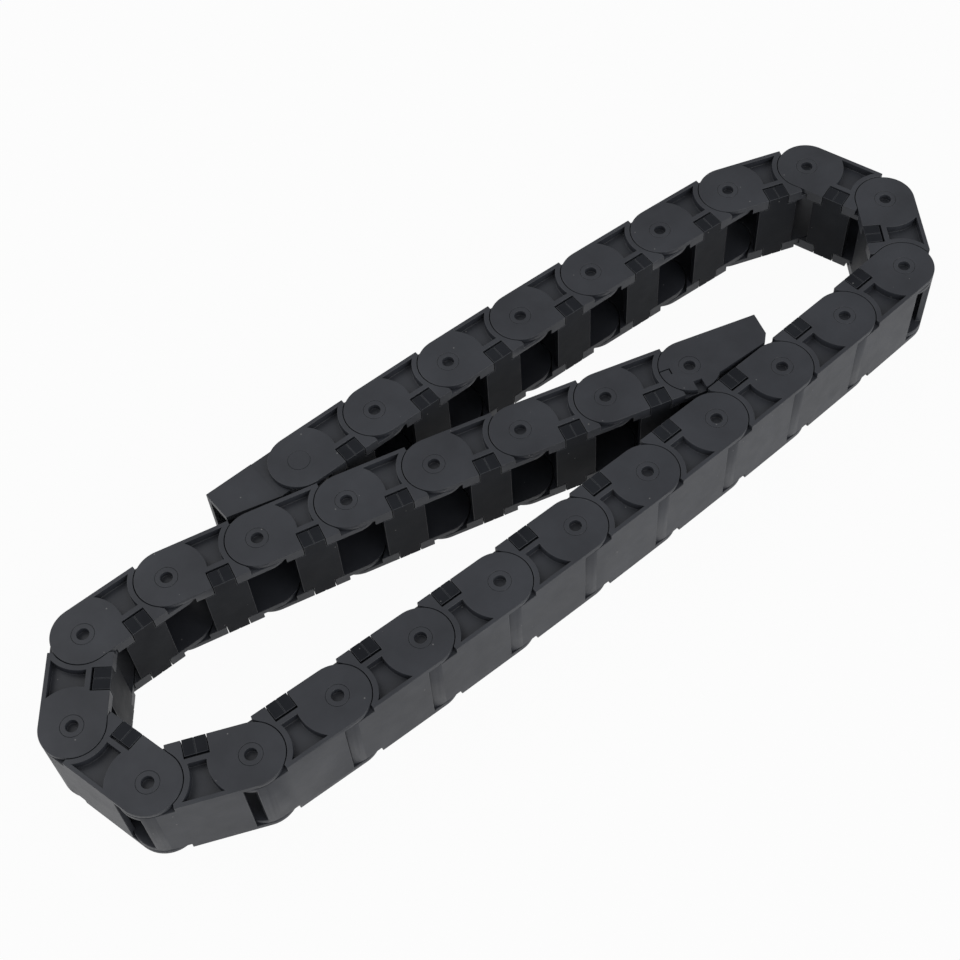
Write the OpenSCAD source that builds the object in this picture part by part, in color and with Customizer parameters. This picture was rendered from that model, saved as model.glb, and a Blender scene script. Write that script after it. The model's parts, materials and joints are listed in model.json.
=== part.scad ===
// Cable drag chain lying on its side in an open coil: 28 hinged links, each closed on the inner side by a
// crossbar that clips in, and a fixing bracket at either end. Every hinge stands upright, along Z.

/* [Link] */
// Distance from one hinge to the next
pitch = 33; // [31:0.5:36]
// Height of a link, from its outer wall to its crossbar
body_h = 22.2; // [20:0.1:24]
// Clear width between the two side plates
inner_w = 23.4; // [15:0.1:50]
// Thickness of a side plate
side_t = 4.6; // [4:0.1:6]
// Thickness of the outer wall and of the brackets' base plates
wall_t = 2.1; // [1.5:0.1:3]
// Where the outer wall begins, ahead of the hinge
wall_start = 5; // [4:0.1:6]

/* [Hinge] */
// Thickness of the eye, the outer half of the lap joint
eye_t = 2.1; // [1.6:0.1:2.4]
// Gap between the two halves of the lap joint
lap_gap = 0.3; // [0.2:0.05:0.5]
// Diameter of the moulded hinge pin
pin_d = 7.8; // [6:0.1:9]
// Clearance round the pin
pin_fit = 0.05; // [0.02:0.01:0.1]
// Diameter of the core hole in a link's pin
core_d = 4.3; // [3:0.1:5]
// Depth of the core hole
core_depth = 3; // [1:0.1:4]
// Largest angle between two links
stop_angle = 52.2; // [46:0.1:56]
// Clearance left between the faces that stop the hinge
stop_gap = 0.2; // [0.1:0.05:0.4]

/* [Side plate] */
// Clearance between the eye and the rib that curves round it
rib_gap = 0.3; // [0.2:0.05:0.5]
// Thickness of the curved rib
rib_t = 1.9; // [1.2:0.1:2.5]
// How far short of the hinge the outer flange ends
flange_back = 6.4; // [5.5:0.1:7.5]
// How far short of the hinge the tail on the inner side ends
tail_back = 6.9; // [6.5:0.1:8]
// Thickness of the flange above the pocket
flange_t = 1.5; // [1:0.1:2.5]
// Radius of the pocket's curved side, about the hinge
pocket_r = 14; // [13:0.1:15]
// Depth of the pocket
pocket_depth = 3.1; // [2:0.1:3.6]
// Thickness of the bar between the pocket and the crossbar's notch
web_t = 1.9; // [1.2:0.1:3]

/* [Crossbar] */
// Width of the crossbar between the side plates, along the chain
bar_w = 15.3; // [13:0.1:16]
// Thickness of the crossbar
bar_t = 2; // [1.5:0.1:3]
// Width of the notch that takes the crossbar's end block
notch_w = 8.35; // [7:0.05:9]
// Depth of that notch
notch_depth = 6.7; // [5:0.1:7.5]
// Clearance round the crossbar
bar_fit = 0.25; // [0.15:0.05:0.35]
// Width of the slot that a screwdriver pries the crossbar open with
pry_gap = 0.8; // [0.5:0.1:1.2]
// Depth of the prying slot
pry_depth = 1.5; // [1:0.1:2.5]
// Width and depth of the fine seam across an end block
seam = 0.3; // [0.2:0.05:0.5]

/* [Brackets] */
// Length of the bracket before the first hinge
start_len = 32.3; // [28:0.1:40]
// Length of the bracket past the last hinge
end_len = 31.3; // [28:0.1:40]
// Thickness of the first bracket's side plates
start_plate_t = 2.5; // [2.3:0.1:3.5]
// Length of the first bracket's thinner neck
neck_len = 13.2; // [12:0.1:15]
// How far the neck reaches past the hinge line, towards the inner side
neck_drop = 6.6; // [5:0.1:8]
// How far the first bracket's tip reaches past the hinge line
start_tip_drop = 1.2; // [0.5:0.1:4]
// How far short of the hinge line the last bracket's end edge stops
end_tip_rise = 1.8; // [1:0.1:4]
// Length of the chamfer at the last bracket's tip
chamfer_len = 2.1; // [1:0.1:4]
// How far that chamfer reaches past the hinge line
chamfer_drop = 1.6; // [0.5:0.1:3]
// Where the last bracket's taper ends, from the hinge
taper_x = 8.6; // [8:0.1:12]
// How far the taper reaches past the hinge line
taper_drop = 7.1; // [5:0.1:8]
// Angle on the eye at which the taper's heel meets it
heel_angle = 59; // [50:1:70]
// Width of the notch in the last bracket's eye
relief_w = 3.3; // [2:0.1:4]
// Depth of that notch
relief_depth = 4.1; // [2:0.1:5]
// How far the notch sits off the hinge's centre line
relief_shift = 0.25; // [0:0.05:0.5]
// Width of the snap slit in the last bracket's eye
slit_w = 0.5; // [0.3:0.1:1]
// Distance from the hinge to the slit's inner end
slit_r = 7.1; // [6:0.1:8]
// Distance from the hinge line to the slit
slit_y = 1.2; // [0.5:0.1:2]
// Length of the slit's cross arm
slit_len = 2.7; // [2:0.1:4]
// Diameter of a screw hole
screw_d = 4.5; // [3:0.1:5]
// Distance between a bracket's two screw holes, across the chain
screw_gap = 13; // [10:0.5:16]
// Distance from the hinge to a bracket's screw holes
screw_x = 21; // [18:0.5:24]

/* [Coil] */
// Hinges in the first straight run
first_hinges = 6; // [5:1:9]
// Hinges in the second straight run
second_hinges = 8; // [7:1:9]
// Hinges in the last straight run
last_hinges = 6; // [5:1:7]
// Bend of each hinge in a straight run
run_bend = 0.73; // [0:0.01:1]
// Bend of the hinge that leads into the second turn
second_ease = 21.2; // [19:0.1:23]
// Gap left between one lap of the coil and the next
lay_gap = 0.5; // [0.4:0.1:1]

/* [Hidden] */
$fn = 96;
half_h = body_h / 2;
lobe_t = side_t - eye_t - lap_gap;
total_w = inner_w + 2 * side_t;
eye_r = half_h;
recess_r = half_h + rib_gap;
pin_r = pin_d / 2;
shell_end = wall_start - stop_gap;
web_y = notch_depth + web_t - half_h;
bar_x = pitch / 2;
far = 4 * body_h;
eps = 0.01;
// Times that the search for a bend halves its interval.
halvings = 24;
// Hinges bent to their stop in each turn, which with the eases makes half a turn.
turn_hinges = floor(180 / stop_angle);

// Outline of the last bracket's plate past the eye: tip, chamfer, and the taper back to the eye.
end_tip = [[end_len, half_h], [end_len, end_tip_rise], [end_len - chamfer_len, -chamfer_drop],
    [taper_x, -taper_drop], eye_r * [cos(heel_angle), -sin(heel_angle)]];
// Lower edge of the first bracket's plate, from its tip to the neck.
start_edge = [[-start_len, -start_tip_drop], [-neck_len, -neck_drop]];

// Bends of all hinges in order, in degrees clockwise; the first and the last ease are given.
function bends(first_ease, last_ease) = concat(
    [for (i = [1:first_hinges]) run_bend], [first_ease], [for (i = [1:turn_hinges]) stop_angle],
    [for (i = [1:second_hinges]) run_bend], [second_ease], [for (i = [1:turn_hinges]) stop_angle],
    [last_ease], [for (i = [1:last_hinges]) run_bend]);

hinge_count = first_hinges + second_hinges + last_hinges + 2 * turn_hinges + 3;
link_count = hinge_count - 1;

// Heading of every piece, from the first bracket to the last.
function headings(bend) = [for (k = 0, h = 0; k <= hinge_count;
    h = h - (k < hinge_count ? bend[k] : 0), k = k + 1) h];
// Place of every hinge.
function hinges(head) = [for (k = 0, p = [0, 0]; k < hinge_count; k = k + 1,
    p = p + pitch * [cos(head[k]), sin(head[k])]) p];
function turned(p, a) = [p.x * cos(a) - p.y * sin(a), p.x * sin(a) + p.y * cos(a)];

// Distance from a point to the line between two hinges, and the least over several points and links.
function point_gap(p, a, b) = let (along = (p - a) * (b - a) / ((b - a) * (b - a)))
    norm(p - a - max(0, min(1, along)) * (b - a));
function least_gap(points, line) = min([for (p = points) for (i = [0:len(line) - 2])
    point_gap(p, line[i], line[i + 1])]);
function span(list, from, to) = [for (i = [from:to]) list[i]];

// Gap between the last run and the second run, and between the first run and the last.
function lower_gap(bend) = let (head = headings(bend), p = hinges(head), n = hinge_count,
    second = span(p, first_hinges + turn_hinges, n - last_hinges - turn_hinges - 3),
    tip = [for (q = end_tip) p[n - 1] + turned(q, head[n])])
    min(least_gap(span(p, n - 3, n - 1), second) - body_h, least_gap(tip, second) - half_h);
function upper_gap(bend) = let (p = hinges(headings(bend)), m = hinge_count - last_hinges,
    outer = span(p, 0, 4), inner = span(p, m - 1, m + 2))
    min(least_gap(inner, outer), least_gap(span(p, 0, 3), inner)) - body_h;

// Bend out of the second turn that lays the last run beside the second one.
function settle_last(low = 0, high = stop_angle, n = halvings) = n == 0 ? low :
    let (mid = (low + high) / 2, far_enough = lower_gap(bends(0, mid)) > lay_gap)
    far_enough ? settle_last(mid, high, n - 1) : settle_last(low, mid, n - 1);
// Bend into the first turn that lays the first run beside the last one.
function settle_first(last, low = 0, high = stop_angle, n = halvings) = n == 0 ? low :
    let (mid = (low + high) / 2, far_enough = upper_gap(bends(mid, last)) > lay_gap)
    far_enough ? settle_first(last, mid, high, n - 1) : settle_first(last, low, mid, n - 1);

last_ease = settle_last();
first_ease = settle_first(last_ease);
head = headings(bends(first_ease, last_ease));
hinge = hinges(head);

// The origin is under the middle of the coil's box.
low_x = min([for (p = hinge) p.x]) - half_h;
high_x = max([for (p = hinge) p.x]) + half_h;
low_y = min([for (p = hinge) p.y]) - half_h;
high_y = max([for (p = hinge) p.y]) + half_h;
middle = [(low_x + high_x) / 2, (low_y + high_y) / 2];

function name(stem, k) = str(stem, k < 10 ? "0" : "", k);

// Puts a piece made about its own hinge, at the origin, on hinge k of the coil.
module at_hinge(k, h) {
    translate([hinge[k].x - middle.x, hinge[k].y - middle.y, total_w / 2])
        rotate(head[h]) children();
}

// Makes a side plate, drawn from z = 0 outwards, on both sides of the clear width.
module both_sides() {
    for (side = [0, 1]) mirror([0, 0, side]) translate([0, 0, inner_w / 2]) children();
}

// Room that the next piece's eye and plate need, from the straight chain to the stop.
module ahead_room() {
    translate([pitch, 0]) {
        circle(recess_r);
        rotate(-stop_angle) translate([0, -half_h - stop_gap]) square([far, body_h]);
        translate([-flange_back, 0]) square(far);
        translate([-tail_back, -far]) square(far);
    }
}

// Room that the lobe and neck of the piece before need under the eye.
module behind_room() {
    circle(recess_r);
    translate([-far, -far / 2]) square([far, far]);
    square([wall_start, far]);
    rotate(stop_angle) translate([-far, -recess_r]) square([far, 2 * recess_r]);
}

module pocket() {
    difference() {
        translate([0, web_y]) square([pitch, half_h - flange_t - web_y]);
        circle(pocket_r);
        translate([pitch, 0]) circle(recess_r + rib_t);
    }
}

module notch() {
    translate([bar_x - notch_w / 2, -half_h - eps]) square([notch_w, notch_depth + eps]);
}

// Eye with its bore, as a cut under it and through it.
module eye_cuts() {
    translate([0, 0, -eps]) linear_extrude(side_t - eye_t + eps) behind_room();
    translate([0, 0, -eps]) cylinder(r = pin_r + pin_fit, h = side_t + 2 * eps);
}

// Inner half of the lap joint: a round lobe with the pin on it.
module lobe(core) {
    cylinder(r = eye_r, h = lobe_t);
    difference() {
        cylinder(r = pin_r, h = side_t);
        if (core) translate([0, 0, side_t - core_depth]) cylinder(d = core_d, h = core_depth + eps);
    }
}

// Outer wall carried round the hinge as far as the next wall.
module shell() {
    intersection() {
        difference() {
            cylinder(r = eye_r, h = inner_w, center = true);
            cylinder(r = eye_r - wall_t, h = inner_w + 2 * eps, center = true);
        }
        translate([-eps, 0, -inner_w / 2]) cube([shell_end + eps, eye_r, inner_w]);
    }
}

module link_side() {
    difference() {
        linear_extrude(side_t) union() {
            circle(eye_r);
            translate([0, -half_h]) square([pitch, body_h]);
        }
        translate([0, 0, lobe_t]) linear_extrude(side_t) ahead_room();
        eye_cuts();
        translate([0, 0, side_t - pocket_depth]) linear_extrude(side_t) pocket();
        translate([0, 0, -eps]) linear_extrude(side_t + 2 * eps) notch();
    }
    translate([pitch, 0, 0]) lobe(true);
}

module link_body() {
    both_sides() link_side();
    translate([wall_start, half_h - wall_t, -inner_w / 2]) cube([pitch - wall_start, wall_t, inner_w]);
    translate([pitch, 0, 0]) shell();
}

// End block that fills the notch, with the prying slot above it and a fine seam across it.
module end_block() {
    block_w = notch_w - 2 * bar_fit;
    difference() {
        union() {
            translate([bar_x - block_w / 2, -half_h, -bar_fit])
                cube([block_w, notch_depth - pry_gap, side_t + bar_fit]);
            translate([bar_x - block_w / 2, -half_h, -bar_fit])
                cube([block_w, notch_depth - bar_fit, side_t - pry_depth + bar_fit]);
        }
        translate([bar_x - seam / 2, -half_h - eps, side_t - seam]) cube([seam, notch_depth, 2 * seam]);
    }
}

module crossbar_body() {
    both_sides() end_block();
    translate([bar_x - bar_w / 2, -half_h, bar_fit - inner_w / 2])
        cube([bar_w, bar_t, inner_w - 2 * bar_fit]);
}

// Two screw holes through the base plate, which lies on the outer side.
module screw_holes(x) {
    for (z = [-1, 1] * screw_gap / 2)
        translate([x, half_h + eps, z]) rotate([90, 0, 0]) cylinder(d = screw_d, h = wall_t + 2 * eps);
}

module start_side() {
    linear_extrude(start_plate_t) polygon(concat(start_edge, [[-neck_len, half_h], [-start_len, half_h]]));
    translate([-neck_len - eps, -neck_drop, 0]) cube([neck_len + eps, half_h + neck_drop, lobe_t]);
    lobe(false);
}

module bracket_start() color([0.24, 0.25, 0.27]) at_hinge(0, 0) difference() {
    union() {
        both_sides() start_side();
        translate([-start_len, half_h - wall_t, -inner_w / 2]) cube([start_len, wall_t, inner_w]);
        shell();
    }
    screw_holes(-screw_x);
}

// Notch and snap slit in the edge of the last bracket's eye.
module eye_relief() {
    translate([-relief_shift - relief_w / 2, -half_h - eps]) square([relief_w, relief_depth + eps]);
    translate([-half_h - eps, slit_y]) square([half_h + eps - slit_r, slit_w]);
    translate([-slit_r - slit_w, slit_y + slit_w - slit_len]) square([slit_w, slit_len]);
}

module end_side() {
    difference() {
        linear_extrude(side_t) union() {
            circle(eye_r);
            polygon(concat([[0, half_h]], end_tip, [[0, -half_h]]));
        }
        eye_cuts();
        translate([0, 0, side_t - eye_t - eps]) linear_extrude(eye_t + 2 * eps) eye_relief();
    }
}

module bracket_end() color([0.24, 0.25, 0.27]) at_hinge(hinge_count - 1, hinge_count) difference() {
    union() {
        both_sides() end_side();
        translate([wall_start, half_h - wall_t, -inner_w / 2]) cube([end_len - wall_start, wall_t, inner_w]);
    }
    screw_holes(screw_x);
}

module link(k) color([0.24, 0.25, 0.27]) at_hinge(k - 1, k) link_body();
module crossbar(k) color([0.21, 0.22, 0.24]) at_hinge(k - 1, k) crossbar_body();

bracket_start();
for (k = [1:link_count]) link(k);
for (k = [1:link_count]) crossbar(k);
bracket_end();
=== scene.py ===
# %% [markdown]
# # A cable drag chain, coiled on its side
#
# A drag chain is a string of moulded boxes. Each box carries cables through its middle, and turns on the box
# before it until a stop holds it. This lesson dresses a finished CAD model of such a chain: it gives the hard
# CAD edges the small rounding that every moulding has, adds the traces that moulding leaves, and makes the
# black plastic look like black plastic.
#
# The CAD model comes first, because every later piece takes its place from it.

# %% Load the chain
import json
import math

import bmesh
import bpy
from mathutils import Matrix, Vector


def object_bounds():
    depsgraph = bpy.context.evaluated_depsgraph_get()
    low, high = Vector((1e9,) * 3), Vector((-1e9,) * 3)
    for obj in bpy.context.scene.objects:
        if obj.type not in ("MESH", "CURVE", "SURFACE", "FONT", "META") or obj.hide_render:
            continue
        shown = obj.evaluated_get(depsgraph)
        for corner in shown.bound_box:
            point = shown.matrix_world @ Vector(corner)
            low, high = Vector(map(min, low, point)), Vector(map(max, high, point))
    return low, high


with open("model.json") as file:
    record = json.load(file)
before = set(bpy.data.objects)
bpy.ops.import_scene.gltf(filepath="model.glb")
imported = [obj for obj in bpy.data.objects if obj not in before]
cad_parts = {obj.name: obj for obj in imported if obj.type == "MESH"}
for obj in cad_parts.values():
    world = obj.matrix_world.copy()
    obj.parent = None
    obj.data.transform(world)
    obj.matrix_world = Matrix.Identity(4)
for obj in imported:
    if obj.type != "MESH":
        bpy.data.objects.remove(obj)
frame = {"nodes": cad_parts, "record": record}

MM = 0.001
cad_box = [list(corner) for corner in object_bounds()]
print("CAD box in mm:", [[round(c / MM, 1) for c in corner] for corner in cad_box])

# %% [markdown]
# ## Where the links lie
#
# Every link is alike, and link_matrix gives the frame of any one of them. The hinges tell us: a link reaches
# from its own hinge to the next one, so those two points give its place and its heading. The imported joints
# hold both.

# %% Read the hinges
hinge_place = {j["name"]: Vector(j["pos_m"]) for j in frame["record"]["behaviour"]["joints"]
               if j["type"] == "hinge"}
hinges = [hinge_place[name] for name in sorted(hinge_place)]
LINKS = len(hinges) - 1
PITCH = (hinges[1] - hinges[0]).length


def link_matrix(number):
    """Frame of a link: origin on its own hinge at mid width, X towards the next hinge, Y to the outer wall."""
    start, end = hinges[number - 1], hinges[number]
    heading = math.atan2(end.y - start.y, end.x - start.x)
    return Matrix.Translation(start) @ Matrix.Rotation(heading, 4, "Z")


print(LINKS, "links, hinges", round(PITCH / MM, 2), "mm apart")

# %% [markdown]
# ## The camera
#
# The chain is seen from above at a steep angle, with a slight tilt of the camera. We aim at a point on the
# top face near the middle of the coil, and build the camera's axes by hand: Z points back from the target
# to the lens, X to the right, and a small roll turns both about Z.

# %% Place the camera
ELEVATION, AZIMUTH, ROLL = math.radians(57.06), math.radians(35.31), math.radians(-5.03)
DISTANCE, FOCAL_WIDTHS = 0.5892, 1.7842
aim = Vector((-0.0195, -0.0064, cad_box[1][2]))
back = Vector((-math.sin(AZIMUTH) * math.cos(ELEVATION), -math.cos(AZIMUTH) * math.cos(ELEVATION),
               math.sin(ELEVATION)))
right = Vector((math.cos(AZIMUTH), -math.sin(AZIMUTH), 0))
level = Matrix((right, back.cross(right), back)).transposed().to_4x4()
camera = bpy.data.objects.new("camera", bpy.data.cameras.new("camera"))
camera.data.sensor_width = 36
camera.data.lens = FOCAL_WIDTHS * camera.data.sensor_width
camera.data.clip_start = 0.01
camera.matrix_world = Matrix.Translation(aim + DISTANCE * back) @ level @ Matrix.Rotation(ROLL, 4, "Z")
bpy.context.scene.collection.objects.link(camera)
bpy.context.scene.camera = camera
print("lens", round(camera.data.lens, 1), "mm at", round(DISTANCE, 3), "m")

# %% [markdown]
# ## Node helpers
#
# Materials are built from shader nodes. Two short helpers keep those cells readable: one adds a node and
# sets its sockets, the other links an output to an input.


# %% Add and link nodes
def add_node(tree, kind, **values):
    """A new node; socket values are given by name, with _ for a space."""
    node = tree.nodes.new(kind)
    for name, value in values.items():
        node.inputs[name.replace("_", " ")].default_value = value
    return node


def new_material(name):
    """An empty material, with its tree and its output node."""
    material = bpy.data.materials.new(name)
    material.use_nodes = True
    material.node_tree.nodes.clear()
    return material, material.node_tree, material.node_tree.nodes.new("ShaderNodeOutputMaterial")


# %% [markdown]
# ## Floor and light
#
# A black object shows its form only through soft, even light. A pale dome lights it from everywhere, and
# two large lamps add a gentle slope: one from the front, so that the upright walls come out a little lighter
# than the tops, and a weak one from behind, which draws the rounded edges. The floor looks white to the
# camera and to reflections, whatever falls on it, and still keeps a trace of the chain's shadow. To diffuse
# light it is a mid grey, so that it doesn't fill the dark insides of the links from below.

# %% White floor
FLOOR_GLOW = 0.96
floor_mesh = bmesh.new()
bmesh.ops.create_grid(floor_mesh, x_segments=1, y_segments=1, size=4)
floor = bpy.data.objects.new("floor", bpy.data.meshes.new("floor"))
floor_mesh.to_mesh(floor.data)
floor_mesh.free()
floor.location.z = cad_box[0][2] - 0.02 * MM
bpy.context.scene.collection.objects.link(floor)

paper, tree, output = new_material("white_paper")
ray = tree.nodes.new("ShaderNodeLightPath")
seen = add_node(tree, "ShaderNodeMath")
seen.operation = "MAXIMUM"
seen_any = add_node(tree, "ShaderNodeMath")
seen_any.operation = "MAXIMUM"
share = add_node(tree, "ShaderNodeMath")
share.operation = "MULTIPLY"
share.inputs[1].default_value = FLOOR_GLOW
mixed = tree.nodes.new("ShaderNodeMixShader")
plain = add_node(tree, "ShaderNodeBsdfDiffuse", Color=(0.4, 0.4, 0.4, 1))
glow = add_node(tree, "ShaderNodeEmission", Color=(1, 1, 1, 1), Strength=1)
tree.links.new(ray.outputs["Is Camera Ray"], seen.inputs[0])
tree.links.new(ray.outputs["Is Glossy Ray"], seen.inputs[1])
tree.links.new(seen.outputs[0], seen_any.inputs[0])
tree.links.new(ray.outputs["Is Transmission Ray"], seen_any.inputs[1])
tree.links.new(seen_any.outputs[0], share.inputs[0])
tree.links.new(share.outputs[0], mixed.inputs["Fac"])
tree.links.new(plain.outputs[0], mixed.inputs[1])
tree.links.new(glow.outputs[0], mixed.inputs[2])
tree.links.new(mixed.outputs[0], output.inputs["Surface"])
floor.data.materials.append(paper)

# %% Dome and lamps
world = bpy.data.worlds.new("studio")
world.use_nodes = True
bpy.context.scene.world = world
sky = world.node_tree
sky.nodes.clear()
sky_ray = sky.nodes.new("ShaderNodeLightPath")
dome = add_node(sky, "ShaderNodeBackground", Color=(1, 1, 1, 1), Strength=0.6)
white = add_node(sky, "ShaderNodeBackground", Color=(1, 1, 1, 1), Strength=1)
choice = sky.nodes.new("ShaderNodeMixShader")
sky.links.new(sky_ray.outputs["Is Camera Ray"], choice.inputs["Fac"])
sky.links.new(dome.outputs[0], choice.inputs[1])
sky.links.new(white.outputs[0], choice.inputs[2])
sky.links.new(choice.outputs[0], sky.nodes.new("ShaderNodeOutputWorld").inputs["Surface"])


def add_lamp(name, place, size, power):
    """A square area lamp that faces the coil."""
    lamp = bpy.data.objects.new(name, bpy.data.lights.new(name, "AREA"))
    lamp.data.size = size
    lamp.data.energy = power
    lamp.location = place
    lamp.rotation_euler = (aim - Vector(place)).to_track_quat("-Z", "Y").to_euler()
    bpy.context.scene.collection.objects.link(lamp)


add_lamp("front_lamp", (0.25, -1.3, 0.75), 1.1, 9)
add_lamp("back_lamp", (-0.5, 1.0, 1.3), 0.9, 6)
bpy.context.scene.view_settings.view_transform = "Standard"

# %% [markdown]
# ## Black glass-filled nylon
#
# The links are moulded in a black nylon that is never quite black and never quite even. Three things make
# it read as plastic: a charcoal colour that drifts a little from place to place, a fine grain left by the
# eroded surface of the mould, and a broad soft gloss. Specks of dust and pale nicks are strewn over it.
# All patterns read Object coordinates, and every piece is laid out in one common frame, so the drift runs on
# from link to link instead of repeating.


# %% Moulded plastic
SPECK_SIZE = 0.126  # radius of a dust speck, as a share of the spacing of the dust cells


def moulded_plastic(name, dark, light, roughness, shine, grain):
    """Black moulded plastic: colours drift from dark to light; shine is the gloss level, grain the bump's."""
    material, tree, output = new_material(name)
    place = tree.nodes.new("ShaderNodeTexCoord").outputs["Object"]
    shader = add_node(tree, "ShaderNodeBsdfPrincipled", Specular_IOR_Level=shine)

    drift = add_node(tree, "ShaderNodeTexNoise", Scale=38, Detail=5, Roughness=0.6)
    drift_colour = tree.nodes.new("ShaderNodeValToRGB")
    drift_colour.color_ramp.elements[0].position, drift_colour.color_ramp.elements[1].position = 0.34, 0.68
    drift_colour.color_ramp.elements[0].color = (*dark, 1)
    drift_colour.color_ramp.elements[1].color = (*light, 1)

    dust = add_node(tree, "ShaderNodeTexVoronoi", Scale=420, Randomness=1)
    speck = add_node(tree, "ShaderNodeMapRange")
    speck.inputs["From Min"].default_value = 0.7 * SPECK_SIZE
    speck.inputs["From Max"].default_value = SPECK_SIZE
    speck.inputs["To Min"].default_value = 1
    speck.inputs["To Max"].default_value = 0
    rare = add_node(tree, "ShaderNodeMath")
    rare.operation = "LESS_THAN"
    rare.inputs[1].default_value = 0.06
    both = add_node(tree, "ShaderNodeMath")
    both.operation = "MULTIPLY"
    speckled = tree.nodes.new("ShaderNodeMix")
    speckled.data_type = "RGBA"
    speckled.inputs["B"].default_value = (0.13, 0.13, 0.13, 1)

    gloss = add_node(tree, "ShaderNodeTexNoise", Scale=160, Detail=4, Roughness=0.55)
    gloss_range = add_node(tree, "ShaderNodeMapRange")
    gloss_range.inputs["To Min"].default_value = roughness - 0.07
    gloss_range.inputs["To Max"].default_value = roughness + 0.07

    fine = add_node(tree, "ShaderNodeTexNoise", Scale=2600, Detail=3, Roughness=0.6)
    broad = add_node(tree, "ShaderNodeTexNoise", Scale=90, Detail=2, Roughness=0.5)
    relief = add_node(tree, "ShaderNodeBump", Strength=grain, Distance=0.05 * MM)
    waves = add_node(tree, "ShaderNodeBump", Strength=0.22, Distance=0.5 * MM)

    for pattern in (drift, dust, gloss, fine, broad):
        tree.links.new(place, pattern.inputs["Vector"])
    separate = tree.nodes.new("ShaderNodeSeparateColor")
    tree.links.new(drift.outputs["Fac"], drift_colour.inputs["Fac"])
    tree.links.new(dust.outputs["Distance"], speck.inputs["Value"])
    tree.links.new(dust.outputs["Color"], separate.inputs["Color"])
    tree.links.new(separate.outputs["Red"], rare.inputs[0])
    tree.links.new(speck.outputs["Result"], both.inputs[0])
    tree.links.new(rare.outputs[0], both.inputs[1])
    tree.links.new(both.outputs[0], speckled.inputs["Factor"])
    tree.links.new(drift_colour.outputs["Color"], speckled.inputs["A"])
    tree.links.new(speckled.outputs["Result"], shader.inputs["Base Color"])
    tree.links.new(gloss.outputs["Fac"], gloss_range.inputs["Value"])
    tree.links.new(gloss_range.outputs["Result"], shader.inputs["Roughness"])
    tree.links.new(broad.outputs["Fac"], waves.inputs["Height"])
    tree.links.new(fine.outputs["Fac"], relief.inputs["Height"])
    tree.links.new(waves.outputs["Normal"], relief.inputs["Normal"])
    tree.links.new(relief.outputs["Normal"], shader.inputs["Normal"])
    tree.links.new(shader.outputs[0], output.inputs["Surface"])
    return material


link_plastic = moulded_plastic("link_plastic", (0.020, 0.022, 0.028), (0.032, 0.035, 0.043), 0.5, 0.35, 0.5)
crossbar_plastic = moulded_plastic("crossbar_plastic", (0.010, 0.011, 0.014), (0.017, 0.019, 0.023),
                                   0.55, 0.07, 0.4)
# Paler, smoother bevel material: a painted highlight along the rounded edges, partly also edge wear.
edge_highlight_and_wear_plastic = moulded_plastic("painted_edge_highlight_and_wear", (0.028, 0.030, 0.036), (0.042, 0.045, 0.052), 0.38, 0.3, 0.15)

# %% [markdown]
# ## Rounded edges on the CAD pieces
#
# No mould makes a perfectly sharp edge, and the thin line of light along a rounded edge is what tells the
# eye how large a plastic part is. The CAD meshes are loose triangles, so three modifiers work in turn:
# Weld joins the triangles, Decimate melts each flat face into one, and Bevel rounds what is left of the
# edges. The bevel faces take a second material, a little paler and smoother: the paler tone is a painted
# highlight along each edge, and partly stands for the wear of rubbed edges.

# %% Round and paint the CAD pieces
EDGE_ROUND = 0.2 * MM
CROSSBAR_ROUND = 0.12 * MM


def round_edges(piece, width, highlight_wear_slot):
    """Welds a CAD piece and rounds its edges; the rounding takes the material slot whose number is given, a
    paler tone that is a painted edge highlight and partly wear.
    """
    weld = piece.modifiers.new("weld", "WELD")
    weld.merge_threshold = 0.002 * MM
    flatten = piece.modifiers.new("flatten", "DECIMATE")
    flatten.decimate_type = "DISSOLVE"
    flatten.angle_limit = math.radians(1)
    bevel = piece.modifiers.new("bevel", "BEVEL")
    bevel.width = width
    bevel.segments = 2
    bevel.limit_method = "ANGLE"
    bevel.angle_limit = math.radians(35)
    # The bevel faces take the paler material: a painted edge highlight, partly wear.
    bevel.material = highlight_wear_slot
    bevel.harden_normals = True
    bevel.use_clamp_overlap = True


for name, piece in frame["nodes"].items():
    piece.data.materials.clear()
    piece.data.materials.append(crossbar_plastic if name.startswith("crossbar") else link_plastic)
    piece.data.materials.append(edge_highlight_and_wear_plastic)
    round_edges(piece, CROSSBAR_ROUND if name.startswith("crossbar") else EDGE_ROUND, 1)
print("rounded", len(frame["nodes"]), "CAD pieces")
